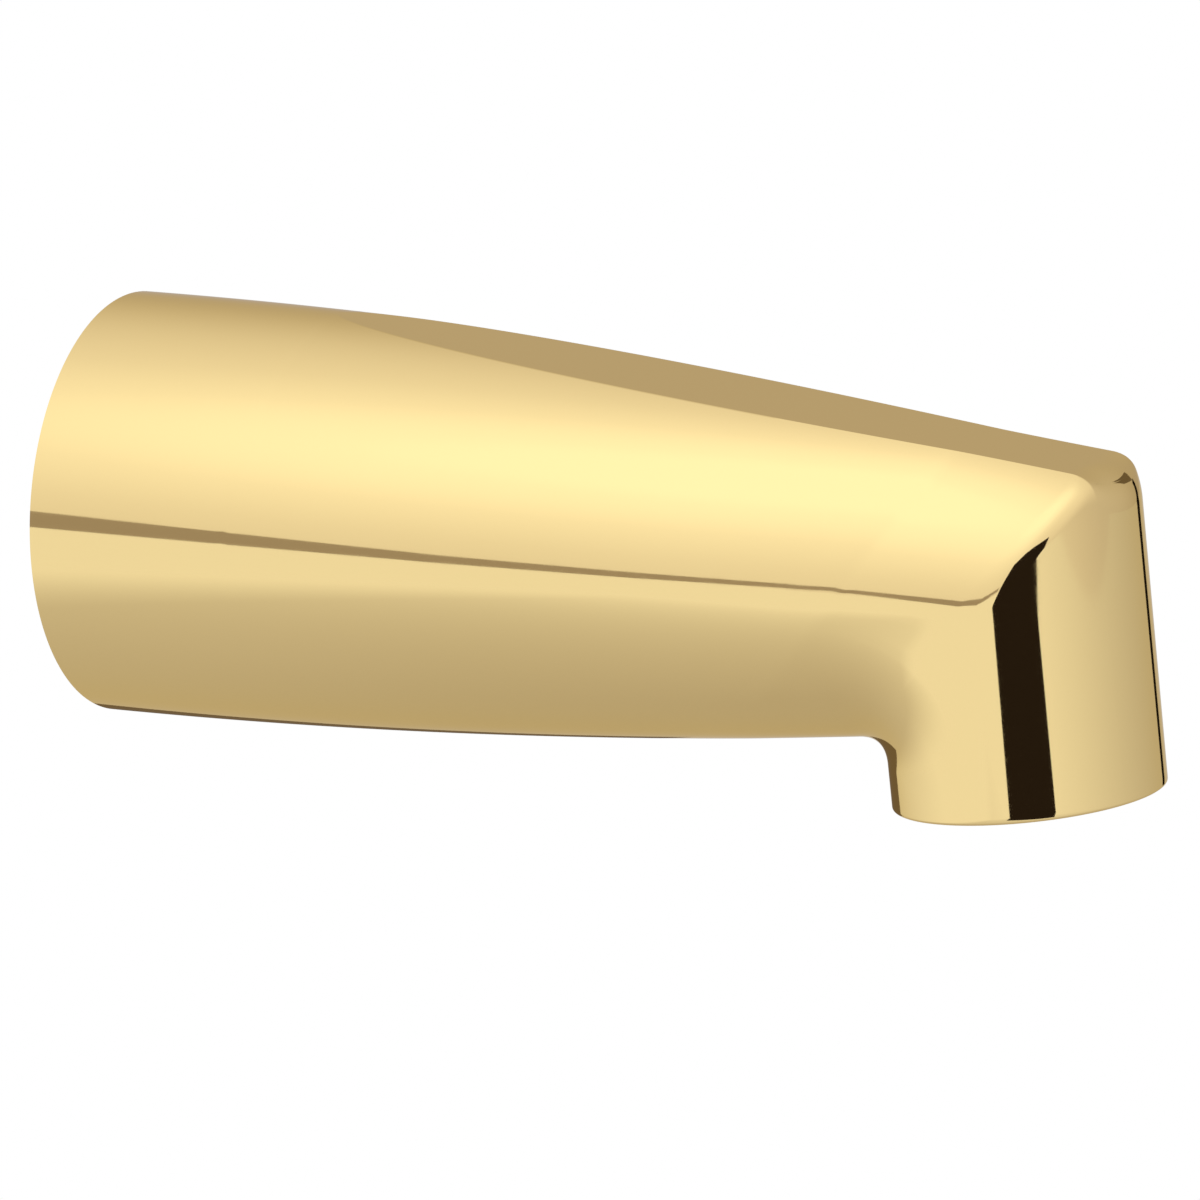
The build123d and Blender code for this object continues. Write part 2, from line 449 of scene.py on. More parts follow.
# %% [markdown]
# ## The casting's skin, as a rule in Geometry Nodes
#
# A mirror finish shows every uneven facet, so the skin is a grid whose lines follow the form: one row for
# each station and columns around it. It could be a loft of curves, but then the mitre's ridge and the
# flat's edge would fall between the lines. Here the tree works out every point itself, from the arrows of
# its station and the angle of its column.

# %% Skin tree: grid and stations


def new_tree(name, inputs):
    """A tree with named inputs, listed by their type, and the sockets that they arrive at."""
    tree = bpy.data.node_groups.new(name, "GeometryNodeTree")
    for kind, names in inputs.items():
        for socket_name in names:
            tree.interface.new_socket(socket_name, in_out="INPUT", socket_type=f"NodeSocket{kind}")
    tree.interface.new_socket("Mesh", in_out="OUTPUT", socket_type="NodeSocketGeometry")
    return tree, add_node(tree, "NodeGroupInput").outputs


pull_inputs = ["Pull Centre", "Pull Up", "Pull Side", "Pull Skew"]
width_inputs = ["Corner Width", "Ridge Width", "Throat Width", "Side Hollow"]
skin, given = new_tree(
    "spout_skin",
    {
        "Geometry": ["Stations"],
        "Int": ["Half Columns", "Flat Columns"],
        "Float": ["Edge Blend", "Facet Height", "Facet Fall", *width_inputs],
        "Vector": ["Nozzle Direction", *pull_inputs],
        "Material": ["Finish"],
    },
)
rows = add_node(skin, "GeometryNodeAttributeDomainSize", {}, {"Geometry": given["Stations"]})
columns = add_node(
    skin, "ShaderNodeMath", {"operation": "MULTIPLY_ADD"}, {0: given["Half Columns"], 1: 2.0, 2: 1.0}
)
grid = add_node(
    skin, "GeometryNodeMeshGrid", {}, {"Vertices X": rows.outputs["Point Count"], "Vertices Y": columns}
)
index = add_node(skin, "GeometryNodeInputIndex")
rows_before = add_node(skin, "ShaderNodeMath", {"operation": "DIVIDE"}, {0: index, 1: columns})
row = add_node(skin, "ShaderNodeMath", {"operation": "FLOOR"}, {0: rows_before})


def station_value(name, data_type):
    """A station's attribute, read for the grid row of each point."""
    attribute = add_node(skin, "GeometryNodeInputNamedAttribute", {"data_type": data_type}, {"Name": name})
    return add_node(
        skin,
        "GeometryNodeSampleIndex",
        {"data_type": data_type},
        {"Geometry": given["Stations"], "Value": attribute.outputs["Attribute"], "Index": row},
    )


edge_angle = station_value("edge_angle", "FLOAT")
print("skin tree so far:", len(skin.nodes), "nodes")

# %% [markdown]
# The columns run from the underside, over the top and back. They are shared out in three parts: across the
# flat, through its edge, and down the side. The edge's part is narrow, so that the edge is softened by
# about a fifth of a millimetre, as polishing does. The angle of a column is the sum of what it has passed
# of each part, counted from the top.

# %% Skin tree: angle of each column
edge_columns = 2.0
place_in_row = add_node(skin, "ShaderNodeMath", {"operation": "MODULO"}, {0: index, 1: columns})
column = add_node(
    skin, "ShaderNodeMath", {"operation": "SUBTRACT"}, {0: place_in_row, 1: given["Half Columns"]}
)
from_top = add_node(skin, "ShaderNodeMath", {"operation": "ABSOLUTE"}, {0: column})
edge_end = add_node(
    skin, "ShaderNodeMath", {"operation": "ADD"}, {0: given["Flat Columns"], 1: edge_columns}
)
flat_angle = add_node(
    skin, "ShaderNodeMath", {"operation": "SUBTRACT"}, {0: edge_angle, 1: given["Edge Blend"]}
)
blend_angle = add_node(skin, "ShaderNodeMath", {"operation": "MULTIPLY"}, {0: given["Edge Blend"], 1: 2.0})
side_start = add_node(skin, "ShaderNodeMath", {"operation": "ADD"}, {0: flat_angle, 1: blend_angle})
side_angle = add_node(skin, "ShaderNodeMath", {"operation": "SUBTRACT"}, {0: pi, 1: side_start})
angle = 0.0
for start, end, part in (
    (0.0, given["Flat Columns"], flat_angle),
    (given["Flat Columns"], edge_end, blend_angle),
    (edge_end, given["Half Columns"], side_angle),
):
    passed = add_node(
        skin, "ShaderNodeMapRange", {}, {0: from_top, "From Min": start, "From Max": end, "To Max": part}
    )
    angle = add_node(skin, "ShaderNodeMath", {"operation": "ADD"}, {0: angle, 1: passed})
cosine = add_node(skin, "ShaderNodeMath", {"operation": "COSINE"}, {0: angle})
plain_sine = add_node(skin, "ShaderNodeMath", {"operation": "SINE"}, {0: angle})
left_or_right = add_node(skin, "ShaderNodeMath", {"operation": "SIGN"}, {0: column})
sine = add_node(skin, "ShaderNodeMath", {"operation": "MULTIPLY"}, {0: plain_sine, 1: left_or_right})
print("skin tree so far:", len(skin.nodes), "nodes")

# %% [markdown]
# A point of a station's ellipse is its centre, plus cosine times up, sine times side, and both times skew.
# Where that point stands above the flat, it is lowered onto it along the nozzle's direction. On the nozzle
# the drop is taken from the mitre and shrinks to nothing at the outlet, so that the rows stay evenly
# spread. The result is a sharp mitred pipe with a flat.

# %% Skin tree: sharp points, cut by the flat
skew_share = add_node(skin, "ShaderNodeMath", {"operation": "MULTIPLY"}, {0: sine, 1: cosine})


def moved(start, way, amount):
    """A point moved along an arrow, by so many times its length."""
    step = add_node(skin, "ShaderNodeVectorMath", {"operation": "SCALE"}, {0: way, "Scale": amount})
    return add_node(skin, "ShaderNodeVectorMath", {"operation": "ADD"}, {0: start, 1: step})


def around(centre, up, side, skew):
    """Point of an ellipse at the column's angle."""
    return moved(moved(moved(centre, up, cosine), side, sine), skew, skew_share)


ellipse_point = around(*[station_value(name, "FLOAT_VECTOR") for name in arrows])
probe = around(*[station_value(name, "FLOAT_VECTOR") for name in probe_arrows])
probe_parts = add_node(skin, "ShaderNodeSeparateXYZ", {}, {0: probe}).outputs
level = add_node(
    skin,
    "ShaderNodeMath",
    {"operation": "MULTIPLY_ADD"},
    {0: probe_parts["X"], 1: given["Facet Fall"], 2: probe_parts["Z"]},
)
over = add_node(skin, "ShaderNodeMath", {"operation": "SUBTRACT"}, {0: level, 1: given["Facet Height"]})
above_flat = add_node(skin, "ShaderNodeMath", {"operation": "MAXIMUM"}, {0: over, 1: 0.0})
drop = add_node(
    skin, "ShaderNodeMath", {"operation": "MULTIPLY"}, {0: above_flat, 1: station_value("drop", "FLOAT")}
)
sharp_point = moved(ellipse_point, given["Nozzle Direction"], drop)
print("skin tree so far:", len(skin.nodes), "nodes")

# %% [markdown]
# The casting's bend isn't sharp all round, and a Bevel would make it equally wide everywhere. Here the
# width of its rounding changes around the section. In the middle of the flat it is the corner's, and
# towards the flat's edge it shrinks to that of a crisp ridge. The ridge fades out at half height, because
# barrel and nozzle touch there at no angle. Below that the width grows quickly, so that the throat is a
# wide soft hollow at the sides and tighter at the underside.

# %% Skin tree: width of the bend's rounding
# Cosine of the angle from the top: 1 at the top, 0 at half height, -1 at the underside
ridge_full, corner_full = 0.8, 1.0
throat_starts, throat_full = 0.0, -0.1
side_power = 4.0
ridge = add_node(
    skin,
    "ShaderNodeMapRange",
    {"interpolation_type": "SMOOTHSTEP"},
    {
        0: cosine,
        "From Min": ridge_full,
        "From Max": corner_full,
        "To Min": given["Ridge Width"],
        "To Max": given["Corner Width"],
    },
)
side_share = add_node(skin, "ShaderNodeMath", {"operation": "POWER"}, {0: sine, 1: side_power})
hollow = add_node(
    skin,
    "ShaderNodeMath",
    {"operation": "MULTIPLY_ADD"},
    {0: given["Side Hollow"], 1: side_share, 2: given["Throat Width"]},
)
width = add_node(
    skin,
    "ShaderNodeMapRange",
    {"interpolation_type": "SMOOTHSTEP"},
    {0: cosine, "From Min": throat_starts, "From Max": throat_full, "To Min": ridge, "To Max": hollow},
)
print("skin tree so far:", len(skin.nodes), "nodes")

# %% [markdown]
# A last ellipse, the same for all rows, says which way each column is pulled into the bend. Points nearer
# to the mitre than the width follow it on a parabola, by (width - distance) squared over four widths, which
# leaves barrel and nozzle without a step in slope. Merging then closes the seam and both ends, and the tree
# ends by making the mesh real and giving it its finish.

# %% Skin tree: rounding and finish
merge_distance = 0.001 * mm
pull = around(*[given[name] for name in pull_inputs])
signed_distance = add_node(
    skin,
    "ShaderNodeMath",
    {"operation": "MULTIPLY_ADD"},
    {0: station_value("bend_lean", "FLOAT"), 1: cosine, 2: station_value("bend", "FLOAT")},
)
distance = add_node(skin, "ShaderNodeMath", {"operation": "ABSOLUTE"}, {0: signed_distance})
inside = add_node(skin, "ShaderNodeMath", {"operation": "SUBTRACT"}, {0: width, 1: distance})
within = add_node(skin, "ShaderNodeMath", {"operation": "MAXIMUM"}, {0: inside, 1: 0.0})
squared = add_node(skin, "ShaderNodeMath", {"operation": "MULTIPLY"}, {0: within, 1: within})
four_widths = add_node(skin, "ShaderNodeMath", {"operation": "MULTIPLY"}, {0: width, 1: 4.0})
rounding = add_node(skin, "ShaderNodeMath", {"operation": "DIVIDE"}, {0: squared, 1: four_widths})
placed = add_node(
    skin,
    "GeometryNodeSetPosition",
    {},
    {"Geometry": grid.outputs["Mesh"], "Position": moved(sharp_point, pull, rounding)},
)
closed = add_node(skin, "GeometryNodeMergeByDistance", {}, {"Geometry": placed, "Distance": merge_distance})


def end_tree(tree, geometry, finish):
    """End a tree: make its mesh real, give it its finish, and hand it out."""
    whole = add_node(tree, "GeometryNodeRealizeInstances", {}, {"Geometry": geometry})
    finished = add_node(tree, "GeometryNodeSetMaterial", {}, {"Geometry": whole, "Material": finish})
    add_node(tree, "NodeGroupOutput", {}, {0: finished})


end_tree(skin, closed, given["Finish"])
print("skin tree:", len(skin.nodes), "nodes")

# %% [markdown]
# The tree is fed by a small mesh that has one point for each station and carries its arrows as attributes.
# They could be written into the tree as lists, but attributes keep the sizes in the script and the rule in
# the tree.

# %% A mesh of stations


def mesh_object(name, points, faces=()):
    """A new object with a plain mesh, in the scene."""
    mesh = bpy.data.meshes.new(name)
    mesh.from_pydata([tuple(p) for p in points], [], faces)
    piece = bpy.data.objects.new(name, mesh)
    bpy.context.scene.collection.objects.link(piece)
    return piece


casting = mesh_object("spout_casting", [s["centre"] for s in stations])
for name in (*arrows, *probe_arrows):
    values = [c for s in stations for c in s[name]]
    casting.data.attributes.new(name, "FLOAT_VECTOR", "POINT").data.foreach_set("vector", values)
for name in ("bend", "bend_lean", "drop", "edge_angle"):
    values = [s[name] for s in stations]
    casting.data.attributes.new(name, "FLOAT", "POINT").data.foreach_set("value", values)
print("attributes:", [a.name for a in casting.data.attributes])

# %% [markdown]
# The pull into the bend is how much the barrel's direction and the nozzle's differ, for one millimetre
# each. The modifier's inputs are set by their identifiers, because names are only labels. What it makes is
# then turned into a plain mesh.

# %% Grow the skin


def keep_result(piece):
    """Replace a piece's mesh by what its modifiers make of it, without empty material slots."""
    evaluated = piece.evaluated_get(bpy.context.evaluated_depsgraph_get())
    result = bpy.data.meshes.new_from_object(evaluated)
    for slot in reversed(range(len(result.materials))):
        if result.materials[slot] is None:
            result.materials.pop(index=slot)
    piece.modifiers.clear()
    piece.data = result
    return piece


def grow(piece, tree, inputs):
    """Run a tree on a piece and keep the result as its plain mesh."""
    modifier = piece.modifiers.new(tree.name, "NODES")
    modifier.node_group = tree
    for socket in tree.interface.items_tree:
        if socket.name in inputs:
            modifier[socket.identifier] = inputs[socket.name]
    return keep_result(piece)


edge_softening = 0.2 * mm
before_mitre = barrel_section(throat.x - mm, corner.x - mm)
nozzle_pull = (nozzle_up * mm, no_arrow, no_arrow, no_arrow)
bend_pull = [(rear - tip - away) / mm for rear, tip, away in zip(before_mitre, mitre, nozzle_pull)]
grow(
    casting,
    skin,
    {
        "Half Columns": 100,
        "Flat Columns": 12,
        "Edge Blend": edge_softening / nozzle_radius,
        **dict(zip(pull_inputs, bend_pull)),
        "Corner Width": 6 * mm,
        "Ridge Width": 2.4 * mm,
        "Throat Width": 4 * mm,
        "Side Hollow": 20 * mm,
        "Facet Height": facet_height,
        "Facet Fall": facet_fall,
        "Nozzle Direction": -nozzle_up / (nozzle_up.z + facet_fall * nozzle_up.x),
        "Finish": brass_mirror,
    },
)
print("skin:", len(casting.data.vertices), "points,", len(casting.data.polygons), "faces")

# %% [markdown]
# ## The hollows inside
#
# The spout is hollow at the wall, with a socket for the sleeve in the middle and a post for the set screw,
# and a water chamber leads to the nozzle. Each hollow is a turned shape or a drilled hole, so it is made as
# a solid of that shape and then cut out of the casting, as a core or a drill does it. A Screw modifier
# could turn them too, but one function that lays rings of points is easier to read.

# %% Turned shapes


def face_outward(piece):
    """Merge the points that lie together and turn all faces outwards."""
    shape = bmesh.new()
    shape.from_mesh(piece.data)
    bmesh.ops.remove_doubles(shape, verts=shape.verts, dist=merge_distance)
    bmesh.ops.recalc_face_normals(shape, faces=shape.faces)
    shape.to_mesh(piece.data)
    shape.free()


def turned(name, profile, origin, axis, steps=96):
    """A closed solid turned about an axis from (distance along the axis, radius) points."""
    turn = Vector((0, 0, 1)).rotation_difference(axis)
    points = []
    for along, radius in profile:
        for k in range(steps):
            a = 2 * pi * k / steps
            points.append(origin + turn @ Vector((radius * cos(a), radius * sin(a), along)))
    faces = []
    for ring in range(len(profile) - 1):
        for k in range(steps):
            a, b = ring * steps + k, ring * steps + (k + 1) % steps
            faces.append((a, b, b + steps, a + steps))
    piece = mesh_object(name, points, faces)
    face_outward(piece)
    piece.data.materials.append(brass_cast)
    return piece


wall_centre, out_of_wall, down = Vector((0, 0, 0)), Vector((1, 0, 0)), Vector((0, 0, -1))
print("cutters are finished in", brass_cast.name)

# %% [markdown]
# The hollow at the wall is a cone that leaves a shell 3 mm thick there and thicker further in, with the
# socket standing free in its middle. Under the socket a post reaches down to the shell and carries the
# thread of the set screw, whose place is taken from the frame. A cutter sticks out a little past what it
# cuts, because faces that lie in one plane make a Boolean uncertain.

# %% Hollow at the wall, post and screw hole
spare = 2.0 * mm
shell_wall = 3.0 * mm
rear_hollow_depth = 78.0 * mm
rear_hollow_end_radius = 23.5 * mm
socket_start = 10.0 * mm
socket_radius = 11.8 * mm
socket_wall = 3.0 * mm
socket_outer_radius = socket_radius + socket_wall
wall_hollow = turned(
    "wall_hollow",
    [
        (-spare, 0),
        (-spare, wall_radius - shell_wall),
        (0, wall_radius - shell_wall),
        (rear_hollow_depth, rear_hollow_end_radius),
        (rear_hollow_depth, socket_outer_radius),
        (socket_start, socket_outer_radius),
        (socket_start, 0),
    ],
    wall_centre,
    out_of_wall,
)
screw_x = (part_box("set_screw")[0].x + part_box("set_screw")[1].x) / 2
screw_hole_radius = 3.225 * mm
post_wall = 3.2 * mm
post_radius = screw_hole_radius + post_wall
post_top = socket_radius + socket_wall / 2
screw_post = turned(
    "screw_post",
    [(post_top, 0), (post_top, post_radius), (wall_radius, post_radius), (wall_radius, 0)],
    Vector((screw_x, 0, 0)),
    down,
)
hole_end = wall_radius + spare
screw_hole = turned(
    "screw_hole",
    [(0, 0), (0, screw_hole_radius), (hole_end, screw_hole_radius), (hole_end, 0)],
    Vector((screw_x, 0, 0)),
    down,
    steps=48,
)
print("made:", [c.name for c in (wall_hollow, screw_post, screw_hole)])

# %% [markdown]
# Water comes from the socket through a narrow passage into the chamber, and leaves by the nozzle's bore.
# The bore ends in a dome at the top, so that chamber and bore meet at the elbow without a corner.

# %% Water way and nozzle bore
bulkhead = 8.0 * mm
chamber_start = rear_hollow_depth + bulkhead
chamber_radius = 21.0 * mm
passage_radius = 6.85 * mm
nozzle_wall = 4.0 * mm
nozzle_bore_radius = nozzle_radius - nozzle_wall
socket_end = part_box("pipe_connector")[1].x
water_way = turned(
    "water_way",
    [
        (socket_start - spare, 0),
        (socket_start - spare, socket_radius),
        (socket_end, socket_radius),
        (socket_end, passage_radius),
        (chamber_start, passage_radius),
        (chamber_start, chamber_radius),
        (nozzle_axis_x, nozzle_bore_radius),
        (nozzle_axis_x, 0),
    ],
    wall_centre,
    out_of_wall,
)
dome_rings = 24
dome = []
for k in range(dome_rings + 1):
    turn = pi / 2 * k / dome_rings
    dome.append((-nozzle_bore_radius * cos(turn), nozzle_bore_radius * sin(turn)))
nozzle_bore = turned(
    "nozzle_bore",
    dome + [(2 * outlet_drop, nozzle_bore_radius), (2 * outlet_drop, 0)],
    Vector((nozzle_axis_x, 0, 0)),
    -nozzle_up,
)
print("made:", [c.name for c in (water_way, nozzle_bore)])

# %% [markdown]
# Now the hollows are cut. The post is first taken out of the hollow at the wall, so that it stays standing
# in the casting. The cut faces take the cutter's finish, which leaves the inside as rough as it was cast.
# Shading is smooth, except over the edges that a file would feel: the mouth of each hollow.

# %% Cut the hollows
sharp_edge = radians(33)


def cut(piece, *cutters):
    """Cut solids out of a piece, with their finish on the cut faces, and remove them."""
    for cutter in cutters:
        modifier = piece.modifiers.new(cutter.name, "BOOLEAN")
        modifier.operation = "DIFFERENCE"
        modifier.solver = "EXACT"
        modifier.material_mode = "TRANSFER"
        modifier.object = cutter
    keep_result(piece)
    for cutter in cutters:
        bpy.data.objects.remove(cutter)


def shade(piece):
    """Smooth shading, except where faces meet at more than the angle of a sharp edge."""
    piece.data.shade_smooth()
    piece.data.set_sharp_from_angle(angle=sharp_edge)


face_outward(casting)
cut(wall_hollow, screw_post)
cut(casting, wall_hollow, water_way, nozzle_bore, screw_hole)
shade(casting)
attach(casting, "root")
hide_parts("spout_body")
print("casting:", len(casting.data.polygons), "faces,", [m.name for m in casting.data.materials])

# %% [markdown]
# ## The pieces inside
#
# Two O-rings in the sleeve seal on the supply tube. They are the same moulding twice, so one small tree
# makes both: a round section swept along a circle, as a rubber cord is joined into a ring. A torus would do
# as well, but the sweep has the two sizes by which rings are sold. Their place and size come from the
# frame.

# %% O-rings
ring_steps, cord_steps = 96, 24
ring_tree, given = new_tree(
    "o_ring",
    {
        "Geometry": ["Host"],
        "Float": ["Ring Radius", "Section Radius"],
        "Vector": ["Position"],
        "Material": ["Finish"],
    },
)
path, cord = [
    add_node(
        ring_tree, "GeometryNodeCurvePrimitiveCircle", {}, {"Resolution": steps, "Radius": given[radius]}
    )
    for steps, radius in ((ring_steps, "Ring Radius"), (cord_steps, "Section Radius"))
]
swept = add_node(ring_tree, "GeometryNodeCurveToMesh", {}, {"Curve": path, "Profile Curve": cord})
stood = add_node(
    ring_tree,
    "GeometryNodeTransform",
    {},
    {"Geometry": swept, "Translation": given["Position"], "Rotation": (0, pi / 2, 0)},
)
end_tree(ring_tree, stood, given["Finish"])

for node in ("front_o_ring", "rear_o_ring"):
    low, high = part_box(node)
    section_radius = (high.x - low.x) / 2
    ring = grow(
        mesh_object(f"{node}_rubber", [(0, 0, 0)]),
        ring_tree,
        {
            "Ring Radius": high.z - section_radius,
            "Section Radius": section_radius,
            "Position": (low + high) / 2,
            "Finish": rubber,
        },
    )
    shade(ring)
    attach(ring, "root")
    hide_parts(node)
    print(ring.name, len(ring.data.polygons), "faces at x = %.1f mm" % ((low.x + high.x) / 2 / mm))

# %% [markdown]
# The sleeve and the set screw are plain turned parts with crisp edges. Their solids are already true in the
# frame, so nothing is modelled again, and they only get their finishes.

# %% Sleeve and set screw
for node, finish in (("pipe_connector", brass_turned), ("set_screw", oxide_steel)):
    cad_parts[node].data.materials.clear()
    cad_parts[node].data.materials.append(finish)
    print(node, "is finished in", finish.name)

# %% [markdown]
# ## Camera
#
# The photograph was taken a little above the spout and from its left front, through a long lens. The camera
# could be aimed by a constraint, but here its place and its three axes are set directly, where the outlines
# of photograph and model agree.

# %% Camera
view_azimuth, view_elevation = radians(23.52), radians(12.29)
camera_place = Vector((357.3, -644.5, 144.4)) * mm


def direction(azimuth, elevation=0.0):
    """Arrow towards an azimuth, counted from -Y towards +X, and an elevation."""
    return Vector((sin(azimuth) * cos(elevation), -cos(azimuth) * cos(elevation), sin(elevation)))


to_camera = direction(view_azimuth, view_elevation)
to_right = direction(view_azimuth + pi / 2)
to_top = to_camera.cross(to_right)
camera = bpy.data.objects.new("camera", bpy.data.cameras.new("camera"))
turned_axes = Matrix((to_right, to_top, to_camera)).transposed().to_4x4()
camera.matrix_world = Matrix.Translation(camera_place) @ turned_axes
camera.data.sensor_width = 36
camera.data.lens = 148.04
bpy.context.scene.collection.objects.link(camera)
bpy.context.scene.camera = camera
print("camera at", [round(c, 3) for c in camera_place])

# %% [markdown]
# ## Studio
#
# Everything that the eye reads as brass is a reflection, so the studio is drawn as the spout sees it. One
# large soft light hangs to the left of the camera and above it, and the room falls off around it to a dim,
# slightly warm grey. Area lamps could stand for it, but a mirror would show their edges, so the world
# itself holds the light: a ramp over the angle from the middle of the light.

# %% Soft light
key_direction = direction(view_azimuth - radians(30), radians(52))
key_strength = 1.34
# Angle from the middle of the light in degrees, and the brightness there as a share of the strongest
falloff = [
    (0, 1.0),
    (15, 0.96),
    (30, 0.82),
    (45, 0.71),
    (60, 0.65),
    (75, 0.57),
    (90, 0.475),
    (105, 0.405),
    (125, 0.36),
    (180, 0.33),
]
# Green and blue as shares of red: in the dark, and what full brightness adds
green_dark, green_gain = 0.87, 0.15
blue_dark, blue_gain = 0.86, 0.16

world = bpy.data.worlds.new("studio")
bpy.context.scene.world = world
world.use_nodes = True
tree = world.node_tree
towards = add_node(tree, "ShaderNodeTexCoord").outputs["Generated"]
closeness = add_node(
    tree, "ShaderNodeVectorMath", {"operation": "DOT_PRODUCT"}, {0: towards, 1: key_direction}
).outputs["Value"]
along_ramp = add_node(tree, "ShaderNodeMapRange", {}, {0: closeness, "From Min": -1.0})
ramp = add_node(tree, "ShaderNodeValToRGB", {}, {0: along_ramp})
ramp.color_ramp.interpolation = "B_SPLINE"
while len(ramp.color_ramp.elements) < len(falloff):
    ramp.color_ramp.elements.new(0.5)
for element, (off_angle, share) in zip(ramp.color_ramp.elements, reversed(falloff)):
    green, blue = share * (green_dark + green_gain * share), share * (blue_dark + blue_gain * share)
    element.position = (1 + cos(radians(off_angle))) / 2
    element.color = (share, green, blue, 1)
soft_light = add_node(
    tree, "ShaderNodeVectorMath", {"operation": "SCALE"}, {0: ramp.outputs["Color"], "Scale": key_strength}
)
print("soft light towards", [round(c, 2) for c in key_direction])

# %% [markdown]
# A weak fill from the right lifts the shaded side a little. The camera itself sees plain white, because a
# catalogue picture stands on white: Light Path tells the rays that look straight at the world from those
# that come by way of the brass.

# %% Fill light and white background
fill_direction = direction(view_azimuth + radians(75))
# Cosine of the angle from the fill's middle at which it starts to show
fill_starts = 0.2
fill_strength = 0.11
to_fill = add_node(
    tree, "ShaderNodeVectorMath", {"operation": "DOT_PRODUCT"}, {0: towards, 1: fill_direction}
).outputs["Value"]
fill = add_node(
    tree,
    "ShaderNodeMapRange",
    {"interpolation_type": "SMOOTHSTEP"},
    {0: to_fill, "From Min": fill_starts, "From Max": 1.0, "To Max": fill_strength},
)
room = add_node(tree, "ShaderNodeVectorMath", {"operation": "ADD"}, {0: soft_light, 1: fill})
seen = add_node(tree, "ShaderNodeLightPath").outputs
seen_directly = add_node(
    tree,
    "ShaderNodeMath",
    {"operation": "MAXIMUM"},
    {0: seen["Is Camera Ray"], 1: seen["Is Transmission Ray"]},
)
shown = add_node(
    tree, "ShaderNodeMix", {"data_type": "RGBA"}, {"Factor": seen_directly, 6: room, 7: plain_white}
)
fill_sockets(tree, tree.nodes["Background"], {"Color": shown.outputs[2]})
print("studio world:", len(tree.nodes), "nodes")

# %% [markdown]
# The floor is a pale grey sheet far below the spout, where it keeps a soft shadow, and further out it glows
# white. For the camera that glow is the plain white background; for the brass it is painted light, which
# grows with distance and comes sooner towards the left, where the light reaches further. A gradient on a
# picture could do this, but distances in millimetres from the sheet's middle are easier to match. The
# camera sees white sooner than the brass does.

# %% Floor: how white it is
white_starts, white_full = 50 * mm, 1450 * mm
left_white_starts, left_white_full = 250 * mm, 670 * mm
camera_white_starts, camera_white_full = 150 * mm, 550 * mm

floor_paper, tree, shader = new_material("pale_floor")
matt_paper = {"Base Color": linear("C9C5C1"), "Roughness": 0.9, "Specular IOR Level": 0.0}
fill_sockets(tree, shader, matt_paper)
place = add_node(tree, "ShaderNodeTexCoord").outputs["Object"]
from_middle = add_node(tree, "ShaderNodeVectorMath", {"operation": "LENGTH"}, {0: place}).outputs["Value"]
left_direction = direction(view_azimuth - radians(95))
to_left = add_node(
    tree, "ShaderNodeVectorMath", {"operation": "DOT_PRODUCT"}, {0: place, 1: left_direction}
).outputs["Value"]
seen = add_node(tree, "ShaderNodeLightPath").outputs
mirrored = add_node(
    tree,
    "ShaderNodeMath",
    {"operation": "MAXIMUM"},
    {0: seen["Is Glossy Ray"], 1: seen["Is Transmission Ray"]},
)
# How much the sheet glows: painted light for the brass, growing outwards, and white background for the
# camera
backdrop_and_painted_glow_share = 0.0
for ray, measure, starts, full, change in (
    (mirrored, from_middle, white_starts, white_full, "LINEAR"),
    (mirrored, to_left, left_white_starts, left_white_full, "SMOOTHSTEP"),
    (seen["Is Camera Ray"], from_middle, camera_white_starts, camera_white_full, "LINEAR"),
):
    share = add_node(
        tree,
        "ShaderNodeMapRange",
        {"interpolation_type": change},
        {0: measure, "From Min": starts, "From Max": full, "To Max": ray},
    )
    backdrop_and_painted_glow_share = add_node(tree, "ShaderNodeMath", {"operation": "MAXIMUM"}, {0: backdrop_and_painted_glow_share, 1: share})
print("floor finish so far:", len(tree.nodes), "nodes")

# %% [markdown]
# Far out, the floor's glow is painted light: bright on the side of the light and a dim, warm grey on the
# other side, which the brass shows and the camera doesn't see. Near the spout the sheet takes light and
# shadow as paper does, and further out it glows at that painted tone, so that the white stays even.

# %% Floor: painted far light, and the sheet itself
light_side = direction(view_azimuth - radians(35))
# Cosine of the angle from the light's side within which the floor is at its brightest
fully_lit = 0.75
outward = add_node(tree, "ShaderNodeVectorMath", {"operation": "NORMALIZE"}, {0: place})
towards_light = add_node(
    tree, "ShaderNodeVectorMath", {"operation": "DOT_PRODUCT"}, {0: outward, 1: light_side}
).outputs["Value"]
lit = add_node(tree, "ShaderNodeMapRange", {}, {0: towards_light, "From Min": -1.0, "From Max": fully_lit})
# Painted light: the far floor's glow is bright on the light's side and a dim warm grey away from it
painted_far_light = add_node(
    tree, "ShaderNodeMix", {"data_type": "RGBA"}, {"Factor": lit, 6: linear("C7C3C2"), 7: linear("FDFDFD")}
).outputs[2]
painted_light_and_backdrop_tone = add_node(
    tree,
    "ShaderNodeMix",
    {"data_type": "RGBA"},
    {"Factor": seen["Is Camera Ray"], 6: painted_far_light, 7: plain_white},
).outputs[2]
# The sheet glows though it is no lamp: painted light for the brass, plain white for the camera
painted_light_glow = add_node(tree, "ShaderNodeEmission", {}, {"Color": painted_light_and_backdrop_tone, "Strength": 1.0})
sheet = add_node(tree, "ShaderNodeMixShader", {}, {0: backdrop_and_painted_glow_share, 1: shader, 2: painted_light_glow})
fill_sockets(tree, tree.nodes["Material Output"], {"Surface": sheet})

floor_depth = 350 * mm
half = 6000 * mm
corners = [(-half, -half, 0), (half, -half, 0), (half, half, 0), (-half, half, 0)]
floor = mesh_object("floor", corners, [(0, 1, 2, 3)])
floor.location = ((cad_box[0] + cad_box[1]) / 2).xy.to_3d() - Vector((0, 0, floor_depth))
floor.data.materials.append(floor_paper)
print("floor at z = %.2f m" % floor.location.z)
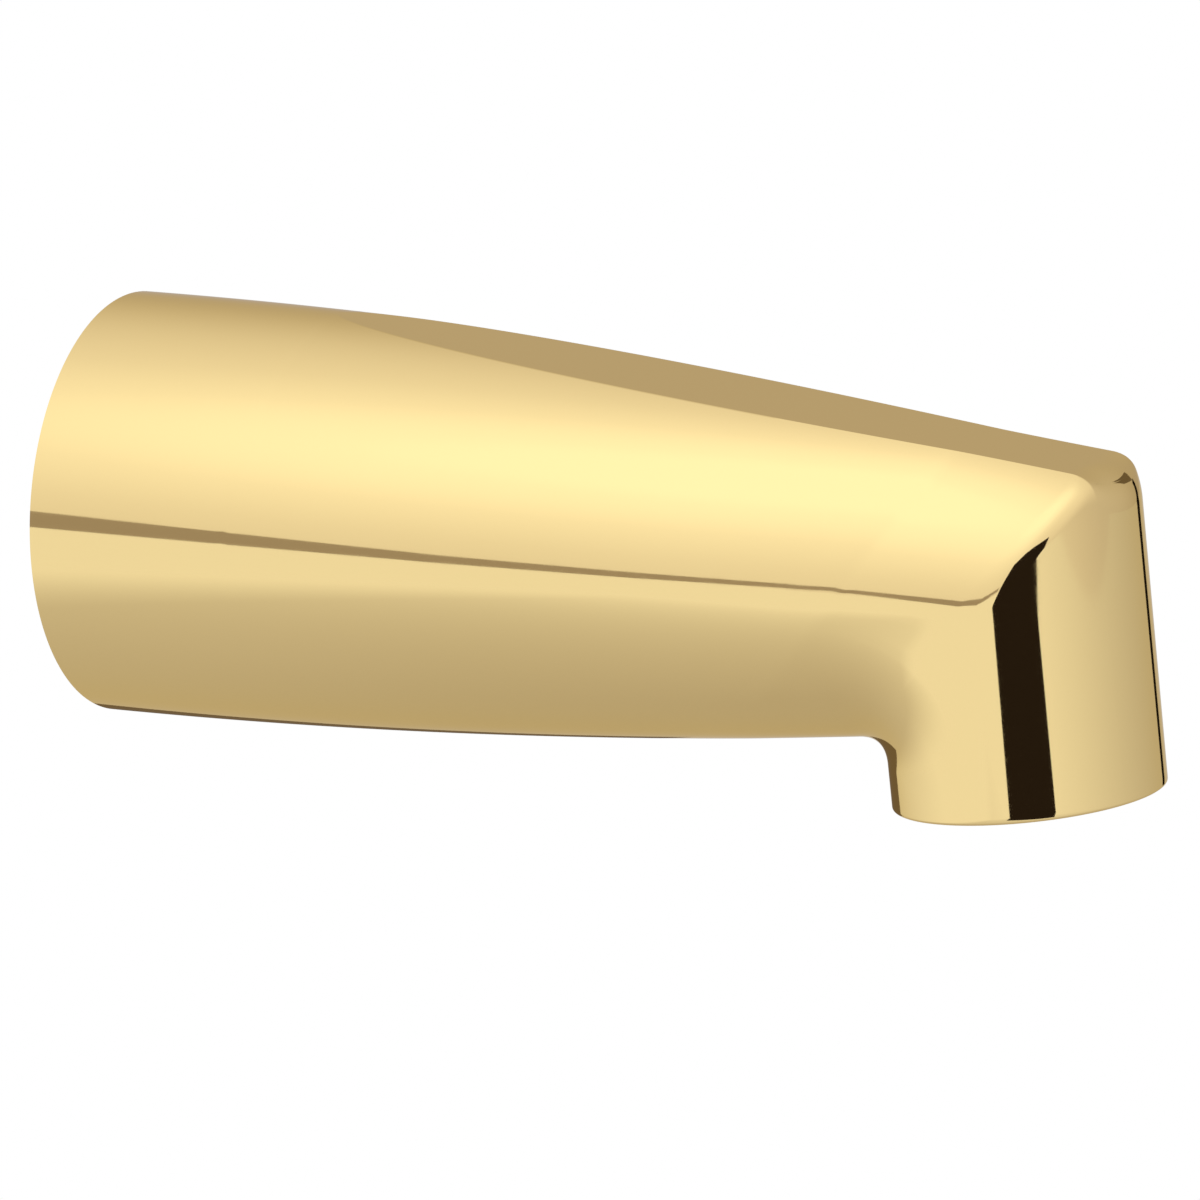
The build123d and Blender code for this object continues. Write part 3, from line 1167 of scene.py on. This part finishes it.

# %% [markdown]
# Cards that glow at a set, mostly dark tone draw the dark shapes in the brass: painted reflections, in the
# place of the flags, plain cards that block light, that a photographer would set up. They could be painted
# on the metal, but then they would not move with the view as reflections do. Each card stands between two
# edges, which are given by the directions in which a point of the spout sees them. Only the brass sees the
# cards: the camera doesn't, and they throw no shadow.

# %% A glowing card that paints a reflection


def painted_reflection_card(name, seen_from, distance, one_edge, other_edge, colour):
    """A glowing card between two edges, as (azimuth from the camera's, elevation) in degrees from a point.
    """
    points = []
    for azimuth, elevation in (*one_edge, *other_edge):
        way = direction(view_azimuth + radians(azimuth), radians(elevation))
        points.append(seen_from + distance * way)
    count = len(one_edge)
    card = mesh_object(name, points, [(k, k + 1, count + k + 1, count + k) for k in range(count - 1)])
    material, tree, shader = new_material(name)
    tree.nodes.remove(shader)
    # The card glows at its own tone though it is no lamp: a painted reflection in the brass
    emission = add_node(tree, "ShaderNodeEmission", {}, {"Color": linear(colour), "Strength": 1.0})
    fill_sockets(tree, tree.nodes["Material Output"], {"Surface": emission})
    card.data.materials.append(material)
    card.visible_camera = False
    card.visible_diffuse = False
    card.visible_shadow = False
    return card


nozzle_middle = Vector((148, -14, -8)) * mm
# A near-black glowing card: the painted reflection of the stripe down the nozzle and the wedge above it
behind_camera = painted_reflection_card(
    "painted_reflection_behind_camera",
    nozzle_middle,
    900 * mm,
    [(-23, -20), (-19, -9.5), (-18.2, -0.8), (-17, 13), (-9, 16.5)],
    [(17.4, -20), (17.2, -5.5), (26, -1.5), (21, 10), (0, 16)],
    "261F1C",
)
print("the stripe down the nozzle:", behind_camera.name)

# %% [markdown]
# The near-black card behind the camera paints the reflected stripe down the nozzle and the wedge above it.
# Four smaller ones follow: far to the right for the thin line at the nozzle's edge, above that for a small
# brown spot at the corner, low at the left for the grey line along the barrel, and behind the spout for the
# strip at the nozzle's rear. All of these are painted reflections of glowing cards.

# %% Smaller cards
nozzle_edge = Vector((158, 9, -8)) * mm
nozzle_rear = Vector((129, 0, -25)) * mm
barrel_middle = Vector((70, -26, 0)) * mm
# Glowing cards whose tones paint a dark line, a brown spot, a grey line and a strip into the brass
smaller_painted_reflection_cards = [
    painted_reflection_card(
        "painted_reflection_far_right",
        nozzle_edge,
        1250 * mm,
        [(141.5, -15), (139, -3), (147, 9)],
        [(148.5, -15), (146.5, -3), (152, 9)],
        "1A1512",
    ),
    painted_reflection_card(
        "painted_reflection_upper_right",
        nozzle_edge,
        1250 * mm,
        [(138.6, 19.7), (138.5, 26.8)],
        [(150, 9.2), (154.4, 15.4)],
        "6E6358",
    ),
    painted_reflection_card(
        "painted_reflection_low_left",
        barrel_middle,
        1200 * mm,
        [(-58, -5.4), (-46, -5.3), (-38, -5.1), (-30, -4.1), (-22, -2.2), (-16.5, -2)],
        [(-58, 2.4), (-46, 0.4), (-38, -1.1), (-30, -1.1), (-22, -0.2), (-16.5, 0)],
        "A79D97",
    ),
    painted_reflection_card(
        "painted_reflection_behind_spout",
        nozzle_rear,
        500 * mm,
        [(-141, -27), (-144, -14)],
        [(-176, -27), (-176, -14)],
        "73675B",
    ),
]
print("smaller flags:", [card.name for card in smaller_painted_reflection_cards])

# %% [markdown]
# ## Picture
#
# The Standard view shows a colour as it is written, so white stays white.

# %% Picture settings
bpy.context.scene.view_settings.view_transform = "Standard"
